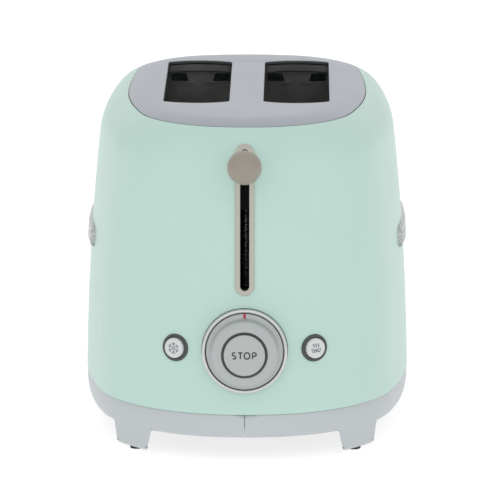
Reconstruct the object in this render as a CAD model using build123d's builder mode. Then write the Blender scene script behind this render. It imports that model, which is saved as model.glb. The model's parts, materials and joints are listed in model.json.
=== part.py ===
"""Two-slot pop-up toaster with a rounded steel casing, made as its separate pieces.

Millimetres, +Z up, front towards -Y. The origin is on the table, under the middle of the whole toaster.
Depths named "inset" run inwards from the casing's widest line.
"""
from build123d import *
from math import asin, atan2, cos, degrees, radians, sin, sqrt
import os

os.makedirs("parts", exist_ok=True)

# Overall size
overall_length = 310.0       # lever ball to rear wall
overall_height = 198.0
half_width = 97.5            # casing
half_length = 145.0

# Casing outline seen from above: three tangent arcs in each quarter, squarer at the rear
end_radius = 135.0
corner_radius = 85.0
side_radius = 320.0
rear_end_radius = 160.0
rear_corner_radius = 75.0
rear_side_radius = 700.0

# Casing wall seen from the end: a long gentle arc, then the shoulder
profile_radius = 1500.0
widest_z = 10.0
shoulder_z = 174.0
shoulder_radius = 25.0
edge_angle = 71.0            # where the casing stops and the top plate starts
casing_wall = 0.9
seam_z = 28.6                # casing stands on the base here

# Top plate and bread slots
plate_thickness = 1.8
plate_arc = 57.0
seam_gap = 0.35
slot_width = 39.0
slot_length = 143.0
slot_bow = 5.0
slot_corner = 4.0
slot_x = 29.8
slot_y = 13.0

# Base
base_bottom = 14.8
base_inset = 1.6             # lower edge of the base's wall
foot_bottom = 1.8
pan_bottom = 19.3
pan_top = 20.5
foot_inset = 1.6             # outer edge of each foot's sole
foot_x = 57.8                # inner corner of each foot's sole
foot_y = 103.5
knee_radius = 4.0
pad_x = 64.3
pad_y = 109.6
pad_radius = 3.9
screw_radius = 1.5
screw_places = [(x, y) for x in (-67, 67) for y in (-30, 66)]

# Lever, on the casing's front
lever_travel = 72.0
lever_z = 178.0
ball_radius = 10.0
lever_slot_low = 102.4
lever_slot_high = 184.6
lever_slot_width = 5.4
trim_width = 11.0

# Controls, on the casing's front
control_z = 67.0
knob_hole = 25.25
button_x = 40.6
button_hole = 8.15
button_travel = 1.5

# Cord gland, at the rear right corner of the base
gland_x = 68.0
gland_z = 23.4

# Bread chamber
chamber_half_width = 60.0
chamber_front = -61.0        # inner faces of the end plates
chamber_rear = 88.5
sheet = 0.8
chamber_low = 30.0
chamber_high = 190.5
rack_z = 124.0               # top of the bread rack with the lever up
guide_offset = 15.5          # bread guides, from the middle of their slot
guide_low = 50.0
guide_high = 165.0
board_offset = 22.9          # heater boards, from the middle of their slot
board_low = 60.0
board_high = 172.0

# Lift mechanism, between the front of the casing and the chamber
rod_y = -83.0
rod_radius = 3.0
frame_low = 32.0
frame_high = 185.5
ear_z = 128.0

# Crumb tray
tray_half_width = 54.0
tray_front = -70.0
tray_low = 21.0
tray_high = 26.6
tray_mouth = 112.0           # width of the opening in the rear of the base

profile_centre = Vector(profile_radius - half_length, widest_z)
shoulder_slope = degrees(asin((shoulder_z - widest_z) / profile_radius))


def wall_inset(z):
    """How far inside its widest line the casing's side is at a height below the shoulder."""
    return profile_radius - sqrt(profile_radius**2 - (z - widest_z) ** 2)


# The toaster's middle is ahead of the casing's, because the lever ball stands out at the front
rear_reach = half_length - wall_inset(seam_z)
body_y = overall_length / 2 - rear_reach
ball_y = ball_radius - overall_length / 2 - body_y


def level(z):
    """A horizontal plane centred on the casing."""
    return Plane((0, body_y, z))


def across(y):
    """An upright plane across the casing, facing the front. Its x is the row's x and its y is height."""
    return Plane((0, body_y + y, 0), x_dir=(1, 0, 0), z_dir=(0, -1, 0))


def along(x):
    """An upright plane along the casing, facing right. Its x runs to the rear and its y is height."""
    return Plane((x, body_y, 0), x_dir=(0, 1, 0), z_dir=(1, 0, 0))


def find_corner_centre(end, end_reach, side, side_reach, corner):
    """Centre of the corner arc, which touches the end arc and the side arc of a front quarter."""
    gap = side - end
    to_end = end_reach - corner
    to_side = side_reach - corner
    forward = (to_end**2 - to_side**2 + gap.length**2) / (2 * gap.length)
    aside = sqrt(to_end**2 - forward**2)
    line = gap.normalized()
    turned = Vector(-line.Y, line.X)
    middle = end + line * forward
    return min((middle + turned * aside, middle - turned * aside), key=lambda point: point.Y)


end_centre = Vector(0, end_radius - half_length)
side_centre = Vector(half_width - side_radius, 0)
corner_centre = find_corner_centre(end_centre, end_radius, side_centre, side_radius, corner_radius)

# The rear quarter is worked out as a front one, then turned about
rear_end = Vector(0, rear_end_radius - half_length)
rear_side = Vector(half_width - rear_side_radius, 0)
rear_corner = find_corner_centre(rear_end, rear_end_radius, rear_side, rear_side_radius, rear_corner_radius)
rear_end_centre = Vector(0, -rear_end.Y)
rear_corner_centre = Vector(rear_corner.X, -rear_corner.Y)


def bearing(start, end):
    """Angle of the line between two points, in degrees."""
    return degrees(atan2(end.Y - start.Y, end.X - start.X))


def plan_outline(inset=0.0):
    """The casing's closed outline from above, this far inside its widest line."""
    end_angle = bearing(end_centre, corner_centre)
    side_angle = bearing(side_centre, corner_centre)
    rear_end_angle = bearing(rear_end_centre, rear_corner_centre)
    rear_side_angle = bearing(rear_side, rear_corner_centre)
    rear_turn = rear_end_angle - rear_side_angle
    with BuildLine(mode=Mode.PRIVATE) as outline:
        CenterArc(end_centre, end_radius - inset, -90, end_angle + 90)
        CenterArc(corner_centre, corner_radius - inset, end_angle, side_angle - end_angle)
        CenterArc(side_centre, side_radius - inset, side_angle, -side_angle)
        CenterArc(rear_side, rear_side_radius - inset, 0, rear_side_angle)
        CenterArc(rear_corner_centre, rear_corner_radius - inset, rear_side_angle, rear_turn)
        CenterArc(rear_end_centre, rear_end_radius - inset, rear_end_angle, 90 - rear_end_angle)
        mirror(about=Plane.YZ)
    return outline.wire()


def wall_band(outer, inner, half=half_length, low=seam_z):
    """Section of a band that follows the casing's wall, between two depths below its surface."""
    centre = Vector(profile_radius - half, widest_z)
    lean = radians(shoulder_slope)
    reach = profile_radius - shoulder_radius
    shoulder = centre + Vector(-cos(lean), sin(lean)) * reach
    with BuildLine(mode=Mode.PRIVATE) as band:
        curves = []
        for depth in (outer, inner):
            radius = profile_radius - depth
            start = degrees(asin((low - widest_z) / radius))
            side = CenterArc(centre, radius, 180 - start, start - shoulder_slope)
            turn = shoulder_slope - edge_angle
            top = CenterArc(shoulder, shoulder_radius - depth, 180 - shoulder_slope, turn)
            curves.append((side @ 0, top @ 1))
        Line(curves[0][0], curves[1][0])
        Line(curves[0][1], curves[1][1])
    return band.wires()[0]


def front_plane(x, z):
    """The plane that touches the casing's front at this x and height, facing outwards."""
    side = 1 if x >= 0 else -1
    joint = (corner_centre - end_centre).normalized() * end_radius
    if abs(x) <= joint.X:
        centre, radius = end_centre, end_radius
    else:
        centre, radius = Vector(side * corner_centre.X, corner_centre.Y), corner_radius
    forward = sqrt((radius - wall_inset(z)) ** 2 - (x - centre.X) ** 2)
    out = Vector(x - centre.X, -forward).normalized()
    lean = asin((z - widest_z) / profile_radius)
    normal = out * cos(lean) + Vector(0, 0, sin(lean))
    point = Vector(x, body_y + centre.Y - forward, z)
    return Plane(point, x_dir=Vector(0, 0, 1).cross(out), z_dir=normal)


def section_of(plane):
    """A plane through another plane's normal: x runs out from the normal and y along it."""
    return Plane(plane.origin, x_dir=plane.x_dir, z_dir=-plane.y_dir)


def normal_axis(plane):
    """The axis through a plane's origin, along its normal."""
    return Axis(plane.origin, plane.z_dir)


def slot_outline(grow=0.0):
    """Outline of a bread slot: straight sides, bowed ends and rounded corners."""
    half_x = slot_width / 2 + grow
    tip = slot_length / 2 + grow
    corner = tip - slot_bow
    with BuildSketch(mode=Mode.PRIVATE) as outline:
        with BuildLine():
            Line((half_x, -corner), (half_x, corner))
            ThreePointArc((half_x, corner), (0, tip), (-half_x, corner))
            Line((-half_x, corner), (-half_x, -corner))
            ThreePointArc((-half_x, -corner), (0, -tip), (half_x, -corner))
        make_face()
        fillet(outline.vertices(), slot_corner + grow)
    return outline.face()


knob_plane = front_plane(0, control_z)
button_planes = [front_plane(x, control_z) for x in (-button_x, button_x)]
gland_reach = rear_corner_radius - wall_inset(gland_z)
gland_side = gland_x - rear_corner_centre.X
gland_out = Vector(gland_side, sqrt(gland_reach**2 - gland_side**2)).normalized()
gland_point = Vector(0, body_y, gland_z) + rear_corner_centre + gland_out * gland_reach
gland_plane = Plane(gland_point, x_dir=Vector(0, 0, 1).cross(gland_out), z_dir=gland_out)
end_axis = Axis((0, body_y + end_centre.Y, 0), (0, 0, 1))
skin_path = plan_outline().moved(Location((0, body_y, 0)))

# ---------------------------------------------------------------- casing and its trim

with BuildPart() as body_shell:
    with BuildSketch(along(0)):
        make_face(wall_band(0, casing_wall).edges())
    sweep(path=skin_path)
    with BuildSketch(knob_plane.offset(8)):
        Circle(knob_hole)
    extrude(amount=-30, mode=Mode.SUBTRACT)
    for button_plane in button_planes:
        with BuildSketch(button_plane.offset(8)):
            Circle(button_hole)
        extrude(amount=-20, mode=Mode.SUBTRACT)
    with BuildSketch(across(-100)):
        with Locations((0, (lever_slot_low + lever_slot_high) / 2)):
            SlotOverall(lever_slot_high - lever_slot_low + 2.6, lever_slot_width + 2.6, rotation=90)
    extrude(amount=60, mode=Mode.SUBTRACT)
body_shell.part.label = "body_shell"
export_step(body_shell.part, "parts/body_shell.step")

with BuildPart() as top_plate:
    edge = radians(edge_angle)
    edge_point = (
        profile_centre
        + Vector(-cos(radians(shoulder_slope)), sin(radians(shoulder_slope))) * (profile_radius - shoulder_radius)
        + Vector(-cos(edge), sin(edge)) * shoulder_radius
    )
    arc_centre = edge_point + Vector(cos(edge), -sin(edge)) * plate_arc
    plate_top = arc_centre.Y + plate_arc
    flat_inset = arc_centre.X + half_length
    gap_angle = degrees(seam_gap / plate_arc)
    with BuildSketch(along(0)):
        with BuildLine():
            rim_top = CenterArc(arc_centre, plate_arc, 90, 90 - edge_angle - gap_angle)
            rim_under = CenterArc(arc_centre, plate_arc - plate_thickness, 90, 90 - edge_angle - gap_angle)
            Line(rim_top @ 0, rim_under @ 0)
            Line(rim_top @ 1, rim_under @ 1)
        make_face()
        with BuildLine():
            lip_top = CenterArc(arc_centre, plate_arc - 1.5, 105, 8)
            lip_under = CenterArc(arc_centre, plate_arc - 2.6, 105, 8)
            Line(lip_top @ 0, lip_under @ 0)
            Line(lip_top @ 1, lip_under @ 1)
        make_face()
    sweep(path=skin_path)
    with BuildSketch(level(plate_top)):
        make_face(plan_outline(flat_inset).edges())
    extrude(amount=-plate_thickness)
    with BuildSketch(level(plate_top)):
        with Locations((-slot_x, slot_y), (slot_x, slot_y)):
            add(slot_outline())
    extrude(amount=-12, mode=Mode.SUBTRACT)
    reach = slot_x + slot_width / 2 + 1
    slot_walls = top_plate.faces().filter_by(lambda face: abs(face.normal_at().Z) < 0.01)
    slot_walls = slot_walls.filter_by(lambda face: abs(face.center().X) < reach)
    slot_walls = slot_walls.filter_by(lambda face: abs(face.center().Y - body_y - slot_y) < slot_length / 2 + 1)
    fillet([wall.edges().sort_by(Axis.Z)[-1] for wall in slot_walls], 0.8)
top_plate.part.label = "top_plate"
export_step(top_plate.part, "parts/top_plate.step")

with BuildPart() as trim_face:
    middle = (0, (lever_slot_low + lever_slot_high) / 2)
    opening_height = lever_slot_high - lever_slot_low
    with BuildSketch(along(0)):
        make_face(wall_band(-1.0, -0.05, low=90).edges())
    revolve(axis=end_axis)
    with BuildSketch(across(-80)):
        with Locations(middle):
            SlotOverall(opening_height + trim_width - lever_slot_width, trim_width, rotation=90)
    extrude(amount=80, mode=Mode.INTERSECT)
    fillet(trim_face.faces().filter_by(GeomType.PLANE, reverse=True).sort_by(Axis.Y)[0].edges(), 0.35)

with BuildPart() as lever_slot_trim:
    with BuildSketch(along(0)):
        make_face(wall_band(-0.6, 3.0, low=90).edges())
    revolve(axis=end_axis)
    with BuildSketch(across(-80)):
        with Locations(middle):
            SlotOverall(opening_height + 2.4, lever_slot_width + 2.4, rotation=90)
    extrude(amount=80, mode=Mode.INTERSECT)
    add(trim_face.part)
    with BuildSketch(across(-80)):
        with Locations(middle):
            SlotOverall(opening_height, lever_slot_width, rotation=90)
    extrude(amount=100, mode=Mode.SUBTRACT)
lever_slot_trim.part.label = "lever_slot_trim"
export_step(lever_slot_trim.part, "parts/lever_slot_trim.step")

with BuildPart() as knob_bezel:
    with BuildSketch(section_of(knob_plane)) as ring:
        with BuildLine():
            Polyline((22.9, -12), (22.9, 3.4), (25.0, 3.4), (25.0, -13.5), (3.9, -13.5), (3.9, -12), (22.9, -12))
        make_face()
        fillet(ring.vertices().group_by(Axis.Y)[-1], 0.9)
    revolve(axis=normal_axis(knob_plane))
knob_bezel.part.label = "knob_bezel"
export_step(knob_bezel.part, "parts/knob_bezel.step")

with BuildPart() as button_collars:
    for button_plane in button_planes:
        with BuildSketch(section_of(button_plane)):
            with BuildLine():
                Polyline((6.25, -16.5), (6.25, 0.6), (6.65, 1.0), (7.55, 1.0), (8.05, 0.5), (8.05, -18), (0, -18))
                Polyline((0, -18), (0, -16.5), (6.25, -16.5))
            make_face()
        revolve(axis=normal_axis(button_plane))
button_collars.part.label = "button_collars"
export_step(button_collars.part, "parts/button_collars.step")

with BuildPart() as side_badges:
    badge_z = 113.0
    badge_height = 12.5
    badge_length = 90.0
    rib_radius = 1.15
    with BuildSketch(along(0)):
        make_face(wall_band(-1.2, -0.05, low=100).edges())
        for rib in (-3.9, 0, 3.9):
            with Locations((wall_inset(badge_z + rib) - half_length - rib_radius - 0.05, badge_z + rib)):
                Circle(rib_radius)
    sweep(path=skin_path)
    with BuildSketch(along(-120)):
        with Locations((0, badge_z)):
            SlotOverall(badge_length, badge_height)
    extrude(amount=240, mode=Mode.INTERSECT)
side_badges.part.label = "side_badges"
export_step(side_badges.part, "parts/side_badges.step")

# ---------------------------------------------------------------- base


def base_section():
    """Section of the base: a wall that rounds inwards to a flat rim under the casing."""
    top = seam_z - 0.3
    with BuildLine(mode=Mode.PRIVATE) as section:
        outer_top = Vector(0.9 - half_length, top)
        outer_low = Vector(base_inset - half_length, base_bottom)
        outside = RadiusArc(outer_low, outer_top, 26)
        Polyline(outside @ 1, (3.1 - half_length, top), (5.9 - half_length, pan_bottom))
        Polyline((5.9 - half_length, pan_bottom), (14 - half_length, pan_bottom))
        Polyline((14 - half_length, pan_bottom), (14 - half_length, base_bottom), outside @ 0)
    return section.wires()[0]


def base_half(side):
    """Half of the base, with its two feet. side is -1 for the left half and 1 for the right."""
    with BuildPart() as feet:
        with BuildSketch(level(foot_bottom)):
            make_face(plan_outline(foot_inset).edges())
        with BuildSketch(level(base_bottom + 1)):
            make_face(plan_outline(base_inset - 0.3).edges())
        loft()
    inner_x = side * foot_x
    knee_z = base_bottom - 1
    knee_x = inner_x - side * 2.4
    knee_y = foot_y - 2.4
    with BuildPart() as legs:
        with BuildSketch(across(half_length)) as front_view:
            with BuildLine():
                Polyline((inner_x - side * 6.5, pan_bottom), (knee_x, knee_z), (inner_x, foot_bottom))
                Polyline((inner_x, foot_bottom), (side * half_width, foot_bottom), (side * half_width, pan_bottom))
                Line((side * half_width, pan_bottom), (inner_x - side * 6.5, pan_bottom))
            make_face()
            fillet(front_view.vertices().sort_by_distance((knee_x, knee_z, 0))[0], knee_radius)
        extrude(amount=2 * half_length)
        with BuildSketch(along(0)) as side_view:
            for end in (-1, 1):
                with BuildLine():
                    Polyline((end * (foot_y - 6.5), pan_bottom), (end * knee_y, knee_z), (end * foot_y, foot_bottom))
                    Polyline((end * foot_y, foot_bottom), (end * half_length, foot_bottom))
                    Polyline((end * half_length, foot_bottom), (end * half_length, pan_bottom))
                    Line((end * half_length, pan_bottom), (end * (foot_y - 6.5), pan_bottom))
                make_face()
            for end in (-1, 1):
                fillet(side_view.vertices().sort_by_distance((end * knee_y, knee_z, 0))[0], knee_radius)
        extrude(amount=half_width, both=True, mode=Mode.INTERSECT)
        add(feet.part, mode=Mode.INTERSECT)
        soles = legs.faces().group_by(Axis.Z)[0]
        fillet(soles.edges(), 1.8)
    with BuildPart() as half:
        with BuildSketch(along(0)):
            make_face(base_section().edges())
        sweep(path=skin_path)
        with BuildSketch(across(half_length + 10)):
            with Locations((0, (pan_bottom + seam_z) / 2 + 0.5)):
                Rectangle(tray_mouth, seam_z - pan_bottom + 1)
        extrude(amount=40, mode=Mode.SUBTRACT)
        with BuildSketch(gland_plane):
            Circle(4.25)
        extrude(amount=6, both=True, mode=Mode.SUBTRACT)
        split(bisect_by=Plane.YZ.offset(side * 0.15), keep=Keep.TOP if side > 0 else Keep.BOTTOM)
        add(legs.part)
    return half.part


base_skirt_left = base_half(-1)
base_skirt_left.label = "base_skirt_left"
export_step(base_skirt_left, "parts/base_skirt_left.step")

base_skirt_right = base_half(1)
base_skirt_right.label = "base_skirt_right"
export_step(base_skirt_right, "parts/base_skirt_right.step")

with BuildPart() as base_pan:
    with BuildSketch(level(pan_bottom)):
        make_face(plan_outline(6.2).edges())
        with Locations(*screw_places):
            Circle(screw_radius, mode=Mode.SUBTRACT)
    extrude(amount=pan_top - pan_bottom)
base_pan.part.label = "base_pan"
export_step(base_pan.part, "parts/base_pan.step")

with BuildPart() as base_screws:
    with BuildSketch(level(pan_bottom)):
        with Locations(*screw_places):
            Circle(3.2)
    extrude(amount=-1.8)
    fillet(base_screws.faces().group_by(Axis.Z)[0].edges(), 0.7)
    with BuildSketch(level(pan_bottom)):
        with Locations(*screw_places):
            Circle(screw_radius)
    extrude(amount=5)
    with BuildSketch(level(pan_bottom - 1.8)):
        with Locations(*screw_places):
            Rectangle(3.4, 0.8)
            Rectangle(0.8, 3.4)
    extrude(amount=1.0, mode=Mode.SUBTRACT)
base_screws.part.label = "base_screws"
export_step(base_screws.part, "parts/base_screws.step")

with BuildPart() as foot_pads:
    with BuildSketch(level(0)):
        with GridLocations(2 * pad_x, 2 * pad_y, 2, 2):
            Circle(pad_radius)
    extrude(amount=foot_bottom)
    fillet(foot_pads.faces().group_by(Axis.Z)[0].edges(), 0.6)
foot_pads.part.label = "foot_pads"
export_step(foot_pads.part, "parts/foot_pads.step")

with BuildPart() as cord_wrap_posts:
    for post_y in (-45, 45):
        with BuildSketch(Plane((0, body_y + post_y, 0), x_dir=(1, 0, 0), z_dir=(0, -1, 0))):
            with BuildLine():
                Polyline((0, pan_bottom), (7, pan_bottom), (7, 9), (15, 8.4), (15, 6.4), (0, 6.4), (0, pan_bottom))
            make_face()
        revolve(axis=Axis((0, body_y + post_y, 0), (0, 0, 1)))
cord_wrap_posts.part.label = "cord_wrap_posts"
export_step(cord_wrap_posts.part, "parts/cord_wrap_posts.step")

# ---------------------------------------------------------------- bread chamber

with BuildPart() as slot_liners:
    for x in (-slot_x, slot_x):
        with BuildSketch(Plane((x, body_y + slot_y, plate_top - plate_thickness - 0.8))):
            add(slot_outline(1.0))
            add(slot_outline(0.4), mode=Mode.SUBTRACT)
        extrude(amount=-4)
slot_liners.part.label = "slot_liners"
export_step(slot_liners.part, "parts/slot_liners.step")

chamber_length = chamber_rear - chamber_front
chamber_y = (chamber_rear + chamber_front) / 2
pivot_places = [(side * slot_x + lean * guide_offset, guide_low) for side in (-1, 1) for lean in (-1, 1)]
rack_slots = [(side * slot_x, (rack_z + guide_low) / 2 - 10) for side in (-1, 1)]


def end_plate_sketch():
    """Outline of a chamber end plate, with its rack slots and guide pivot holes."""
    with BuildSketch(mode=Mode.PRIVATE) as outline:
        with Locations((0, (chamber_low + chamber_high) / 2)):
            Rectangle(2 * chamber_half_width, chamber_high - chamber_low)
        with Locations(*rack_slots):
            SlotOverall(rack_z - guide_low + 24, 7, rotation=90, mode=Mode.SUBTRACT)
        with Locations(*pivot_places):
            Circle(1.25, mode=Mode.SUBTRACT)
    return outline.sketch


with BuildPart() as chamber_end_front:
    with BuildSketch(across(chamber_front)):
        add(end_plate_sketch())
    extrude(amount=sheet)
    with BuildSketch(across(chamber_front)):
        with Locations((0, chamber_high - sheet / 2)):
            Rectangle(2 * chamber_half_width, sheet)
    extrude(amount=6)
chamber_end_front.part.label = "chamber_end_front"
export_step(chamber_end_front.part, "parts/chamber_end_front.step")

with BuildPart() as chamber_end_rear:
    with BuildSketch(across(chamber_rear)):
        add(end_plate_sketch())
        for x in (-slot_x, slot_x):
            for side in (-1, 1):
                with BuildLine():
                    Polyline((x + side * 18.2, 189), (x + side * 9.2, 189), (x + side * 7.4, 184.2))
                    Polyline((x + side * 7.4, 184.2), (x + side * 18.2, 184.2), (x + side * 18.2, 189))
                make_face(mode=Mode.SUBTRACT)
    extrude(amount=-sheet)
    with BuildSketch(across(chamber_rear)):
        with Locations((-slot_x, 190.1), (slot_x, 190.1)):
            Rectangle(slot_width - 1, sheet)
        for x in (-slot_x, slot_x):
            with Locations((x - 6.6, 183.2), (x + 6.6, 183.2)):
                Rectangle(6.4, sheet)
    extrude(amount=1.6)
chamber_end_rear.part.label = "chamber_end_rear"
export_step(chamber_end_rear.part, "parts/chamber_end_rear.step")

with BuildPart() as chamber_shields:
    for side in (-1, 1):
        with BuildSketch(across(chamber_y)):
            with BuildLine():
                wall_x = side * chamber_half_width
                outer_x = wall_x + side * sheet
                foot_end = side * (chamber_half_width + 12)
                Polyline((wall_x, pan_top), (wall_x, 188), (outer_x, 188), (outer_x, pan_top + sheet))
                Polyline((outer_x, pan_top + sheet), (foot_end, pan_top + sheet), (foot_end, pan_top), (wall_x, pan_top))
            make_face()
        extrude(amount=chamber_length / 2 + sheet, both=True)
    with BuildSketch(level(pan_top)):
        with Locations(*screw_places):
            Circle(screw_radius)
    extrude(amount=sheet, mode=Mode.SUBTRACT)
chamber_shields.part.label = "chamber_shields"
export_step(chamber_shields.part, "parts/chamber_shields.step")

board_names = ("left_outer", "left_inner", "right_inner", "right_outer")
board_places = (-slot_x - board_offset, -slot_x + board_offset, slot_x - board_offset, slot_x + board_offset)
board_faces = (1, -1, 1, -1)

for board_name, board_x, facing in zip(board_names, board_places, board_faces):
    with BuildPart() as heater_board:
        with BuildSketch(along(board_x)):
            with Locations((chamber_y, (board_low + board_high) / 2)):
                Rectangle(chamber_length, board_high - board_low)
        extrude(amount=-facing * sheet)
    heater_board.part.label = f"heater_board_{board_name}"
    export_step(heater_board.part, f"parts/heater_board_{board_name}.step")

    with BuildPart() as heater_ribbon:
        with BuildSketch(along(board_x)):
            with Locations((chamber_y, (board_low + board_high) / 2)):
                with GridLocations(0, 11.5, 1, 9):
                    Rectangle(chamber_length - 8, 1.6)
        extrude(amount=facing * 0.3)
    heater_ribbon.part.label = f"heater_ribbon_{board_name}"
    export_step(heater_ribbon.part, f"parts/heater_ribbon_{board_name}.step")

guide_names = ("left_outer", "left_inner", "right_inner", "right_outer")
for guide_name, (guide_x, pivot_z) in zip(guide_names, pivot_places):
    with BuildPart() as bread_guide:
        with BuildSketch(across(chamber_front - 2.3)):
            with Locations((guide_x, pivot_z)):
                Circle(1.2)
        extrude(amount=-(chamber_length + 4.6))
        with BuildSketch(across(chamber_front + 6)):
            with Locations((guide_x, guide_high)):
                Circle(1.0)
        extrude(amount=-(chamber_length - 12))
        with BuildSketch(Plane((guide_x, body_y + chamber_y, pivot_z))):
            with GridLocations(0, (chamber_length - 17) / 7, 1, 8):
                Circle(0.8)
        extrude(amount=guide_high - pivot_z)
    bread_guide.part.label = f"bread_guide_{guide_name}"
    export_step(bread_guide.part, f"parts/bread_guide_{guide_name}.step")

# ---------------------------------------------------------------- bread lift

for rack_name, x in (("left", -slot_x), ("right", slot_x)):
    with BuildPart() as bread_rack:
        with BuildSketch(across(rod_y + 10.5)):
            with Locations((x, rack_z - 8)):
                Rectangle(1.6, 10)
        extrude(amount=-(chamber_rear + 4 - rod_y - 10.5))
        with BuildSketch(along(x - 5.5)):
            for step in range(10):
                with Locations((chamber_front + 9 + step * 15, rack_z - 3)):
                    Trapezoid(3.4, 6, 78)
        extrude(amount=11)
    bread_rack.part.label = f"bread_rack_{rack_name}"
    export_step(bread_rack.part, f"parts/bread_rack_{rack_name}.step")

slider_low = 140.0
slider_high = 182.0
bridge_y = rod_y + 10.5

with BuildPart() as carriage_slider:
    with BuildSketch(level(slider_low)):
        with Locations((0, rod_y)):
            RectangleRounded(16, 18, 2)
    extrude(amount=slider_high - slider_low)
    with BuildSketch(level(ear_z + 12)):
        with Locations((15, rod_y)):
            Rectangle(20, 12)
    extrude(amount=5)
    with BuildSketch(level(ear_z + 12)):
        with Locations((-15, rod_y)):
            Rectangle(20, 7)
    extrude(amount=5)
    with BuildSketch(level(slider_low)):
        with Locations((0, rod_y)):
            Circle(rod_radius + 0.06)
    extrude(amount=slider_high - slider_low, mode=Mode.SUBTRACT)
carriage_slider.part.label = "carriage_slider"
export_step(carriage_slider.part, "parts/carriage_slider.step")

with BuildPart() as carriage_bridge:
    with BuildSketch(across(bridge_y)):
        with Locations((0, rack_z - 8)):
            Rectangle(2 * slot_x + 1.6, 10)
        with Locations((0, (rack_z - 13 + slider_high - 6) / 2)):
            Rectangle(14, slider_high - 6 - rack_z + 13)
    extrude(amount=1.5)
carriage_bridge.part.label = "carriage_bridge"
export_step(carriage_bridge.part, "parts/carriage_bridge.step")

with BuildPart() as lever_arm:
    with BuildSketch(along(0)):
        with BuildLine():
            front = ball_y + 3
            back = rod_y - 9
            Polyline((back, lever_z - 20), (back, lever_z + 3), (front, lever_z + 3), (front, lever_z - 3))
            Polyline((front, lever_z - 3), (ball_y + 21, lever_z - 3), (ball_y + 21, lever_z - 11))
            Polyline((ball_y + 21, lever_z - 11), (ball_y + 26, lever_z - 11), (ball_y + 34, lever_z - 4))
            Polyline((ball_y + 34, lever_z - 4), (back - 14, lever_z - 4), (back, lever_z - 20))
        make_face()
    extrude(amount=1.5, both=True)
lever_arm.part.label = "lever_arm"
export_step(lever_arm.part, "parts/lever_arm.step")

with BuildPart() as lever_ball:
    with BuildSketch(along(0)):
        with BuildLine():
            CenterArc((ball_y, lever_z), ball_radius, -90, 180)
            Line((ball_y, lever_z + ball_radius), (ball_y, lever_z - ball_radius))
        make_face()
    revolve(axis=Axis((0, body_y + ball_y, lever_z), (0, 0, 1)))
    with BuildSketch(across(ball_y + 3)):
        with Locations((0, lever_z)):
            Rectangle(3, 6)
    extrude(amount=-20, mode=Mode.SUBTRACT)
lever_ball.part.label = "lever_ball"
export_step(lever_ball.part, "parts/lever_ball.step")

magnet_x = 17.0
magnet_top = ear_z + 12 - lever_travel - 3

with BuildPart() as keeper_plate:
    with BuildSketch(level(ear_z + 12)):
        with Locations((magnet_x, rod_y)):
            RectangleRounded(15, 14, 2)
    extrude(amount=-2.5)
keeper_plate.part.label = "keeper_plate"
export_step(keeper_plate.part, "parts/keeper_plate.step")

with BuildPart() as mechanism_frame:
    with BuildSketch(level(frame_low)):
        with Locations((0, (rod_y + chamber_front - sheet) / 2 - 6)):
            Rectangle(72, chamber_front - sheet - rod_y + 12)
    extrude(amount=1.5)
    with BuildSketch(level(frame_high)):
        with Locations((0, (rod_y + chamber_front - sheet) / 2 - 4)):
            Rectangle(24, chamber_front - sheet - rod_y + 8)
    extrude(amount=-1.5)
    with BuildSketch(across(chamber_front - sheet)):
        with Locations((0, (frame_low + frame_high) / 2)):
            Rectangle(24, frame_high - frame_low)
    extrude(amount=1.5)
    with BuildSketch(level(frame_low)):
        with Locations((0, rod_y)):
            Circle(rod_radius)
    extrude(amount=frame_high - frame_low, mode=Mode.SUBTRACT)
mechanism_frame.part.label = "mechanism_frame"
export_step(mechanism_frame.part, "parts/mechanism_frame.step")

with BuildPart() as mechanism_screws:
    with BuildSketch(across(chamber_front - sheet - 1.5)):
        with GridLocations(17, 0, 2, 1):
            with Locations((0, 52), (0, 100), (0, 172)):
                Circle(2.6)
    extrude(amount=1.4)
    fillet(mechanism_screws.faces().group_by(Axis.Y)[0].edges(), 0.5)
mechanism_screws.part.label = "mechanism_screws"
export_step(mechanism_screws.part, "parts/mechanism_screws.step")

with BuildPart() as guide_rod:
    with BuildSketch(level(frame_low - 1)):
        with Locations((0, rod_y)):
            Circle(rod_radius)
    extrude(amount=frame_high - frame_low + 2)
guide_rod.part.label = "guide_rod"
export_step(guide_rod.part, "parts/guide_rod.step")

with BuildPart() as carriage_spring:
    with BuildSketch(level(frame_low + 1.5)):
        with Locations((0, rod_y)):
            Circle(5.4)
            Circle(3.6, mode=Mode.SUBTRACT)
    extrude(amount=slider_low - frame_low - 1.5)
carriage_spring.part.label = "carriage_spring"
export_step(carriage_spring.part, "parts/carriage_spring.step")

with BuildPart() as electromagnet_core:
    with BuildSketch(level(frame_low + 1.5)):
        with Locations((magnet_x + 0.5, rod_y)):
            Circle(8.8)
    extrude(amount=2.5)
    with BuildSketch(level(frame_low + 4)):
        with Locations((magnet_x + 0.5, rod_y)):
            Circle(4)
    extrude(amount=magnet_top - frame_low - 4)
electromagnet_core.part.label = "electromagnet_core"
export_step(electromagnet_core.part, "parts/electromagnet_core.step")

with BuildPart() as electromagnet_coil:
    with BuildSketch(level(frame_low + 4)):
        with Locations((magnet_x + 0.5, rod_y)):
            Circle(8.6)
            Circle(4, mode=Mode.SUBTRACT)
    extrude(amount=magnet_top - frame_low - 7)
electromagnet_coil.part.label = "electromagnet_coil"
export_step(electromagnet_coil.part, "parts/electromagnet_coil.step")

with BuildPart() as power_switch:
    with BuildSketch(level(frame_low + 1.5)):
        with Locations((-magnet_x - 1, rod_y)):
            RectangleRounded(16, 12, 1.5)
    extrude(amount=magnet_top - frame_low - 5)
    with BuildSketch(level(frame_low + 1.5)):
        with Locations((-magnet_x - 1, rod_y)):
            Rectangle(4, 6)
    extrude(amount=magnet_top - frame_low - 3)
power_switch.part.label = "power_switch"
export_step(power_switch.part, "parts/power_switch.step")

# ---------------------------------------------------------------- browning knob and buttons

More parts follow.
